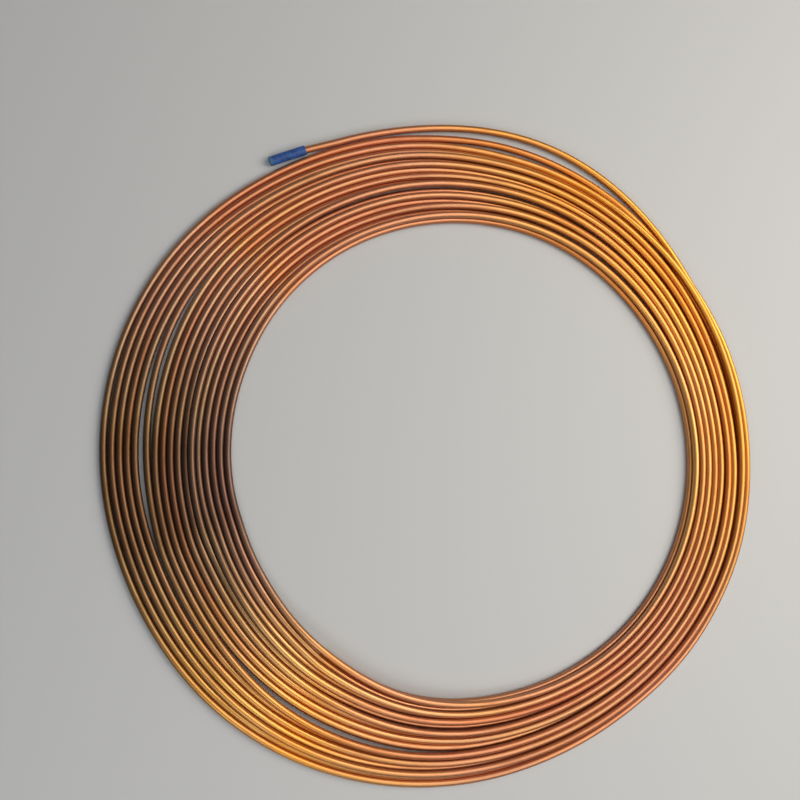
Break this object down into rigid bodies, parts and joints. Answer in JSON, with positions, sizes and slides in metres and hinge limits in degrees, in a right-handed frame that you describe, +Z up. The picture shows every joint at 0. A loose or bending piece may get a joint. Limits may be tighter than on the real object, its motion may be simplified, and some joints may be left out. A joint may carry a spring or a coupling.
{
  "type": "copper tube coil",
  "caption": "Soft copper tube wound into a flat, slightly off-centre pancake coil of two layers, with a capped free end.",
  "frame": {"origin": "under the middle of the whole object's box, on the ground that the coil lies on", "axes": "+Z up, square to the coil's flat face; +X towards the narrow side of the winding; +Y towards the side where the free end lies"},
  "size_m": [0.608, 0.6184, 0.0128],
  "materials": {
    "copper": "bright drawn copper, lightly tarnished",
    "blue_plastic": "soft moulded plastic, satin"
  },
  "bodies": {
    "root": {"tube_coil": "copper", "end_cap": "blue_plastic"}
  },
  "joints": []
}
